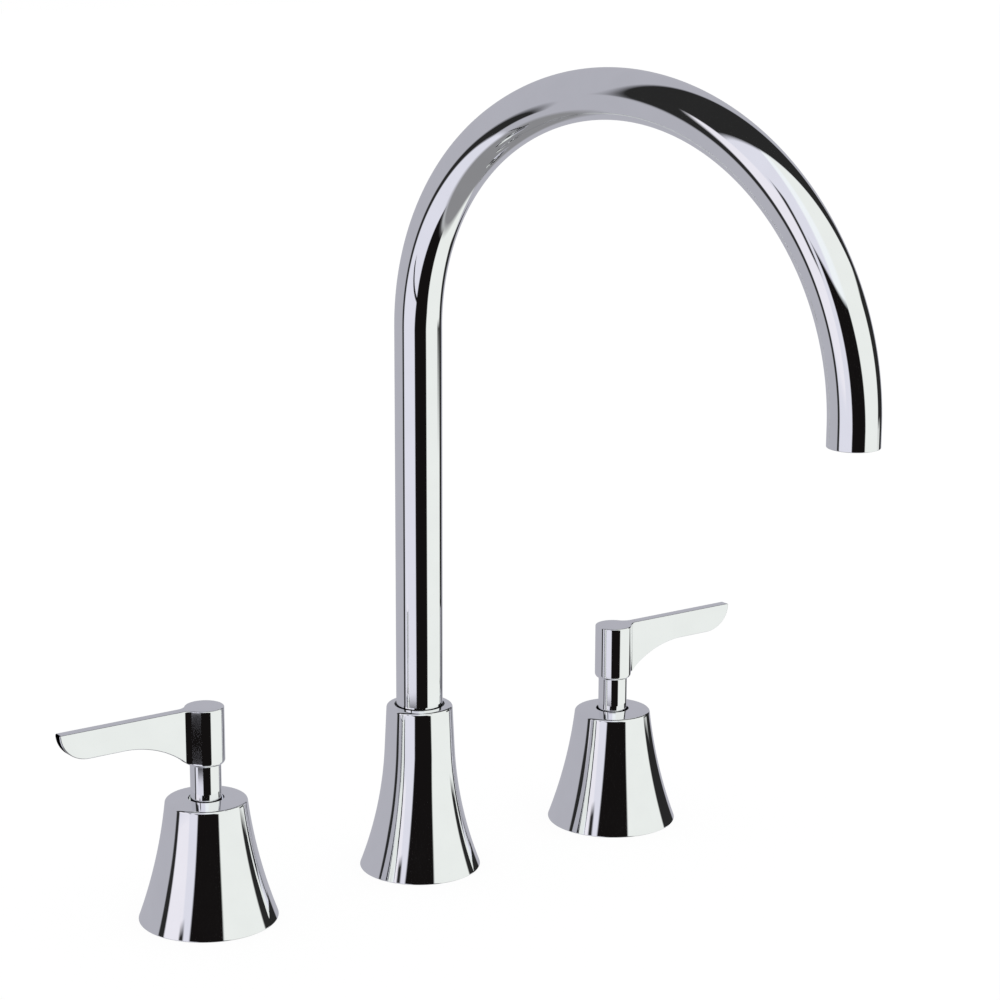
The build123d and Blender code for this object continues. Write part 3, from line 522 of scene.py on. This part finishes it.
UP = np.array([0.0, 0.0, 1.0])


def plan(x):
    """The lever's half width at x, and its outward normal, beyond where the root leaves the hub."""
    away = max(ROOT_X - x, 0.0)
    drop = math.sqrt(ROOT_FILLET**2 - away**2)
    return BLADE_HALF + ROOT_FILLET - drop, np.array([away, drop]) / ROOT_FILLET


def foot_line():
    """The lever's lower outline from its root to the tip, in (x, height), with directions of travel."""
    points, slopes = arriving((SWEEP_ROOT, WALL_FOOT), (SWEEP_START, BLADE_FOOT), (1, 0)).sample(0, 1)
    turn = np.linspace(0, math.pi / 2, 60)[:-1]
    depth = HUB_TOP - BLADE_FOOT
    tip = np.stack([LEVER_END - BLADE_TIP + BLADE_TIP * np.sin(turn), HUB_TOP - depth * np.cos(turn)], -1)
    tip_slopes = np.stack([BLADE_TIP * np.cos(turn), depth * np.sin(turn)], -1)
    tip_slopes /= np.linalg.norm(tip_slopes, axis=1)[:, None]
    lowest = np.searchsorted(tip[:, 1], HUB_TOP - LEVER_EDGE * 1.02)
    return np.concatenate([points, tip[:lowest]]), np.concatenate([slopes, tip_slopes[:lowest]])


def rounding(centre, radius, first, second, steps=7):
    """Rows of a quarter round about centre points, from one normal to the other."""
    rows, normals = [], []
    for turn in np.linspace(0, math.pi / 2, steps):
        normal = math.cos(turn) * first + math.sin(turn) * second
        normal /= np.linalg.norm(normal, axis=-1)[:, None]
        rows.append(centre + radius[:, None] * normal)
        normals.append(normal)
    return np.array(rows), np.array(normals)


def blade(skin):
    """The blade and its root: both walls, their roundings, the underside and the tip."""
    line, slopes = foot_line()
    out = np.stack([slopes[:, 1], np.zeros(len(line)), -slopes[:, 0]], -1)
    ease = np.clip((line[:, 0] - SWEEP_ROOT) / SWEEP_EASE, 0, 1) * LEVER_EDGE
    core = np.stack([line[:, 0], np.zeros(len(line)), line[:, 1]], -1) - ease[:, None] * out
    width = np.array([plan(x)[0] for x in core[:, 0]])
    facing = np.array([plan(x)[1] for x in core[:, 0]])
    lead = np.linspace(TOUCH_X, core[0, 0], 6)[:-1]
    for hand in (1, -1):
        order = slice(None, None, -hand)
        wall_n = np.stack([facing[:, 0], hand * facing[:, 1], np.zeros(len(line))], -1)
        wall_p = core.copy()
        wall_p[:, 1] = hand * width
        # Upright wall in columns from the lower outline to the rounding along the top
        lead_p = np.array([[x, hand * plan(x)[0], core[0, 2]] for x in lead])
        lead_n = np.array([[plan(x)[1][0], hand * plan(x)[1][1], 0] for x in lead])
        bottom_p, bottom_n = np.concatenate([lead_p, wall_p]), np.concatenate([lead_n, wall_n])
        top_p = bottom_p.copy()
        top_p[:, 2] = WALL_TOP
        wall = bottom_p + np.linspace(0, 1, 5)[:, None, None] * (top_p - bottom_p)
        skin.grid(wall[:, order], np.broadcast_to(bottom_n, wall.shape)[:, order])
        upward = np.tile(UP, (len(top_p), 1))
        rows, normals = rounding(
            top_p - LEVER_EDGE * bottom_n, np.full(len(top_p), LEVER_EDGE), bottom_n, upward)
        skin.grid(rows[:, order], normals[:, order])
        rows, normals = rounding(wall_p - ease[:, None] * wall_n, ease, wall_n, out)
        skin.grid(rows[::-1, order], normals[::-1, order])
    # Underside between the two lower roundings
    reach = width - ease * facing[:, 1]
    under = core + ease[:, None] * out
    under_x = under[:, 0] - ease * facing[:, 0]
    rows = np.stack([np.stack([under_x, share * reach, under[:, 2]], -1) for share in np.linspace(-1, 1, 5)])
    skin.grid(rows, np.broadcast_to(out, rows.shape))
    # Tip, where the last lower point and the top line meet in one rounding
    last = core[-1]
    turns = np.linspace(math.atan2(out[-1, 2], out[-1, 0]), math.pi / 2, 9)
    normals = np.stack([np.cos(turns), np.zeros(9), np.sin(turns)], -1)
    inner = BLADE_HALF - LEVER_EDGE
    across = [np.array([0, y, 0]) for y in np.linspace(-inner, inner, 5)]
    rows = np.stack([last + LEVER_EDGE * normals + step for step in across])
    skin.grid(rows, np.broadcast_to(normals, rows.shape))
    for hand in (1, -1):
        flat = np.tile(np.array([0.0, hand, 0.0]), (9, 1))
        centre = np.tile(last + np.array([0, hand * inner, 0]), (9, 1))
        rows, made = rounding(centre, np.full(9, LEVER_EDGE), flat, normals)
        skin.grid(rows[::-1, ::-hand], made[::-1, ::-hand])
    return last[0]


def arc(start, end, count):
    """Unit directions round the hub's axis."""
    turn = np.linspace(start, end, count)
    return np.stack([np.cos(turn), np.sin(turn), np.zeros(count)], -1)


def lever_handle():
    """Hub and blade as one skin."""
    skin = Skin()
    tip_x = blade(skin)

    def wall(directions, bottom, top):
        heights = np.linspace(bottom, top, 4)[:, None, None] * UP
        skin.grid(HUB_R * directions + heights, np.broadcast_to(directions, (4, *directions.shape)))

    # Hub wall and its top rounding, open at the back round the grub screw's hole
    gap = math.asin(WINDOW / HUB_R)
    near_side = arc(TOUCH, math.pi / 2 - gap, 15)
    back = arc(math.pi / 2 - gap, math.pi / 2 + gap, 25)
    far_side = arc(math.pi / 2 + gap, 2 * math.pi - TOUCH, 121)
    wall(near_side, WALL_FOOT, WALL_TOP)
    wall(far_side, WALL_FOOT, WALL_TOP)
    wall(back, WALL_FOOT, GRUB_Z - WINDOW)
    wall(back, GRUB_Z + WINDOW, WALL_TOP)
    full = np.concatenate([near_side, back, far_side])
    centre = (HUB_R - LEVER_EDGE) * full + WALL_TOP * UP
    rows, made = rounding(centre, np.full(len(full), LEVER_EDGE), full, np.tile(UP, (len(full), 1)))
    skin.grid(rows, made)
    # Round hole in its square window
    turn = np.linspace(0, 2 * math.pi, 65)
    square = WINDOW / np.maximum(np.abs(np.cos(turn)), np.abs(np.sin(turn)))
    reach = GRUB_R + np.linspace(0, 1, 5)[:, None] * (square - GRUB_R)
    x, z = reach * np.cos(turn), reach * np.sin(turn)
    x[-1] = HUB_R * np.sin(np.arcsin(WINDOW / HUB_R) * x[-1] / WINDOW)
    y = np.sqrt(HUB_R**2 - x**2)
    place = np.stack([x, y, z + GRUB_Z], -1)
    skin.grid(place, np.stack([x, y, np.zeros(x.shape)], -1))
    rim = place[0]
    deep = rim.copy()
    deep[:, 1] = NECK_R
    tube = np.stack([np.cos(turn), np.zeros(65), np.sin(turn)], -1)
    skin.grid(np.stack([deep, rim]), np.stack([-tube, -tube]))
    # Foot of the hub, and the bore for the stem's neck
    foot = outline(Run((BORE_R, HUB_Z), (HUB_R, HUB_Z)), HUB_FOOT_EDGE, Run((HUB_R, HUB_Z), (HUB_R, HUB_TOP)))
    skin.lathe(foot[:-1])
    skin.lathe(outline(*polyline((0.001, BORE_TOP), (BORE_R, BORE_TOP), (BORE_R, HUB_Z))), spans=BORE_SPANS)
    # Flat foot of the root, just outside the hub
    edge_x = np.linspace(TOUCH_X, SWEEP_ROOT, 6)
    near = np.array([[x, plan(x)[0], WALL_FOOT] for x in edge_x])
    round_hub = HUB_R * arc(-TOUCH, TOUCH, 41)[1:-1] + WALL_FOOT * UP
    skin.flat(np.concatenate([near, near[::-1] * (1, -1, 1), round_hub]), (0, 0, -1))
    # Top face
    ring_top = (HUB_R - LEVER_EDGE) * full + HUB_TOP * UP
    side = []
    for x in np.linspace(TOUCH_X, ROOT_X, 24):
        half, normal = plan(x)
        side.append([x - LEVER_EDGE * normal[0], half - LEVER_EDGE * normal[1], HUB_TOP])
    side.append([tip_x, BLADE_HALF - LEVER_EDGE, HUB_TOP])
    side = np.array(side)
    skin.flat(np.concatenate([ring_top[:-1], side * (1, -1, 1), side[::-1][:-1]]), (0, 0, 1))
    return skin


# Build the chrome pieces
spout_tube().build("spout_tube", "spout", "chrome", chrome)
flared_base().build("spout_flared_base", "root", "chrome", chrome)
for name, sign in (("right", 1), ("left", -1)):
    where = (sign * VALVE_X, 0, 0)
    flipped = sign < 0
    bell().build(name + "_bell", "root", "chrome", chrome, where, flipped)
    handle_stem().build(name + "_handle_stem", name + "_handle", "chrome", chrome, where, flipped)
    lever_handle().build(name + "_lever_handle", name + "_handle", "chrome", chrome, where, flipped)


# Camera, fitted to the outlines in the photograph

CAMERA_PLACE = (-0.5769, -0.8712, 0.4047)
CAMERA_YAW = 54.696
CAMERA_PITCH = 13.429
CAMERA_ROLL = 0.217
LENS = 96.07
SENSOR_WIDTH = 36.0


def aim_camera():
    yaw, pitch, roll = math.radians(CAMERA_YAW), math.radians(CAMERA_PITCH), math.radians(CAMERA_ROLL)
    ahead = np.array([math.cos(yaw) * math.cos(pitch), math.sin(yaw) * math.cos(pitch), -math.sin(pitch)])
    right = np.array([math.sin(yaw), -math.cos(yaw), 0.0])
    up = np.cross(right, ahead)
    right, up = right * math.cos(roll) + up * math.sin(roll), up * math.cos(roll) - right * math.sin(roll)
    data = bpy.data.cameras.new("camera")
    data.sensor_width = SENSOR_WIDTH
    data.lens = LENS
    camera = bpy.data.objects.new("camera", data)
    bpy.context.scene.collection.objects.link(camera)
    place = np.identity(4)
    place[:3, 0], place[:3, 1], place[:3, 2] = right, up, -ahead
    place[:3, 3] = CAMERA_PLACE
    camera.matrix_world = Matrix(place.tolist())
    bpy.context.scene.camera = camera


aim_camera()


# Studio

TOWARDS_CAMERA = 234.8
LILAC_GREY = (0.45, 0.45, 0.50)
LILAC_WHITE = (0.76, 0.76, 0.85)
LILAC_CARD = (0.87, 0.85, 0.92)
BRIGHT = (0.92, 0.96, 0.98)
GREEN_WHITE = (0.87, 0.90, 0.87)
TABLE_GREY = (0.26, 0.26, 0.27)
DARK = (0.022, 0.022, 0.022)
BLACK = (0.007, 0.006, 0.006)
MATTE_LEVEL = (0.9, 0.9, 0.9)
WHITE = (1.0, 1.0, 1.0)


def maths(tree, operation, *values, clamp=False):
    """The output of a maths node that is fed with numbers or sockets."""
    node = tree.nodes.new("ShaderNodeMath")
    node.operation = operation
    node.use_clamp = clamp
    for i, value in enumerate(values):
        if isinstance(value, (int, float)):
            node.inputs[i].default_value = value
        else:
            tree.links.new(value, node.inputs[i])
    return node.outputs[0]


def rises(tree, value, edge, soft):
    """0 below an edge and 1 above it, with a soft step between."""
    return maths(tree, "MULTIPLY_ADD", value, 1 / soft, 0.5 - edge / soft, clamp=True)


def between(tree, value, low, high, soft):
    up = rises(tree, value, low, soft)
    return maths(tree, "MULTIPLY", up, rises(tree, value, high, -soft))


def painted(tree, below, colour, mask):
    """A colour laid over what is below it, where the mask is 1."""
    mix = tree.nodes.new("ShaderNodeMix")
    mix.data_type = "RGBA"
    for socket, value in ((mix.inputs[6], below), (mix.inputs[7], colour)):
        if isinstance(value, tuple):
            socket.default_value = (*value, 1)
        else:
            tree.links.new(value, socket)
    tree.links.new(mask, mix.inputs[0])
    return mix.outputs[2]


def studio():
    """White to the camera, and a plain level for matte light. Metal sees a white dome, a grey wall and cards.

    Bearings are degrees from the direction of the camera, and rise towards the right of the picture. Heights
    are degrees above the horizon.
    """
    world = bpy.data.worlds.new("studio")
    world.use_nodes = True
    bpy.context.scene.world = world
    tree = world.node_tree
    background = tree.nodes["Background"]
    place = tree.nodes.new("ShaderNodeTexCoord").outputs["Generated"]
    split = tree.nodes.new("ShaderNodeSeparateXYZ")
    tree.links.new(place, split.inputs["Vector"])
    azimuth = maths(tree, "DEGREES", maths(tree, "ARCTAN2", split.outputs["Y"], split.outputs["X"]))
    bearing = maths(tree, "WRAP", maths(tree, "SUBTRACT", azimuth, TOWARDS_CAMERA), 180.0, -180.0)
    height = maths(tree, "DEGREES", maths(tree, "ARCSINE", split.outputs["Z"]))
    leaning = maths(tree, "MULTIPLY_ADD", maths(tree, "MAXIMUM", height, -17.0), 0.4, bearing)

    def cap(centre, lift, reach):
        """A round dome about a direction."""
        angle, rise = math.radians(TOWARDS_CAMERA + centre), math.radians(lift)
        dot = tree.nodes.new("ShaderNodeVectorMath")
        dot.operation = "DOT_PRODUCT"
        dot.inputs[1].default_value = (
            math.cos(angle) * math.cos(rise), math.sin(angle) * math.cos(rise), math.sin(rise))
        tree.links.new(place, dot.inputs[0])
        return rises(tree, dot.outputs["Value"], math.cos(math.radians(reach)), 0.04)

    def card(left, right, low, high, across=bearing, soft=3.0):
        """A card between two bearings and two heights."""
        wide = between(tree, across, left, right, soft)
        return maths(tree, "MULTIPLY", wide, between(tree, height, low, high, soft))

    white_dome = maths(tree, "MULTIPLY", cap(28, -26, 101.5), between(tree, bearing, -71, 129, 3.0))
    middle = maths(tree, "MULTIPLY", white_dome, rises(tree, bearing, -2, 8.0))
    right_side = maths(tree, "MULTIPLY", white_dome, rises(tree, bearing, 26, 12.0))
    seen = painted(tree, DARK, LILAC_GREY, rises(tree, height, -2, -4.0))
    seen = painted(tree, seen, LILAC_GREY, cap(-149, 1, 67))
    seen = painted(tree, seen, LILAC_WHITE, white_dome)
    seen = painted(tree, seen, BRIGHT, middle)
    seen = painted(tree, seen, GREEN_WHITE, right_side)
    seen = painted(tree, seen, DARK, card(-81, -71, -34, 24))
    seen = painted(tree, seen, DARK, card(124, 148, -32, 12))
    seen = painted(tree, seen, DARK, card(107, 137, -11, 16))
    seen = painted(tree, seen, LILAC_CARD, card(-71, -40, -8, 25))
    seen = painted(tree, seen, DARK, card(-44, -37, 12, 31))
    seen = painted(tree, seen, BLACK, card(-20, 36, -53, 24, across=leaning))
    # Narrow card at the height that the root of the left lever reflects
    seen = painted(tree, seen, BLACK, card(-52, -10, -19.25, -17.8, soft=0.3))
    seen = painted(tree, seen, TABLE_GREY, rises(tree, height, -53, -8.0))

    path = tree.nodes.new("ShaderNodeLightPath")
    shown = painted(tree, MATTE_LEVEL, seen, path.outputs["Is Glossy Ray"])
    open_view = maths(tree, "MAXIMUM", path.outputs["Is Camera Ray"], path.outputs["Is Transmission Ray"])
    shown = painted(tree, shown, WHITE, open_view)
    tree.links.new(shown, background.inputs["Color"])
    background.inputs["Strength"].default_value = 1.0


studio()


def floor():
    """White deck plane that keeps the object's shadow. The mirror sees the studio past it."""
    made = bpy.data.materials.new("white_floor")
    made.use_nodes = True
    tree = made.node_tree
    tree.nodes.remove(tree.nodes["Principled BSDF"])
    surface = tree.nodes["Material Output"].inputs["Surface"]
    diffuse = tree.nodes.new("ShaderNodeBsdfDiffuse")
    diffuse.inputs["Color"].default_value = (0.12, 0.12, 0.12, 1)
    glow = tree.nodes.new("ShaderNodeEmission")
    glow.inputs["Color"].default_value = (1, 1, 1, 1)
    glow.inputs["Strength"].default_value = 0.9
    both = tree.nodes.new("ShaderNodeAddShader")
    tree.links.new(diffuse.outputs[0], both.inputs[0])
    tree.links.new(glow.outputs[0], both.inputs[1])
    tree.links.new(both.outputs[0], surface)
    reach, drop = 6.0, -0.00005
    mesh = bpy.data.meshes.new("floor")
    mesh.from_pydata(
        [(-reach, -reach, drop), (reach, -reach, drop), (reach, reach, drop), (-reach, reach, drop)], [],
        [(0, 1, 2, 3)])
    mesh.materials.append(made)
    obj = bpy.data.objects.new("floor", mesh)
    bpy.context.scene.collection.objects.link(obj)
    obj.visible_glossy = False


floor()
bpy.context.scene.view_settings.view_transform = "Standard"
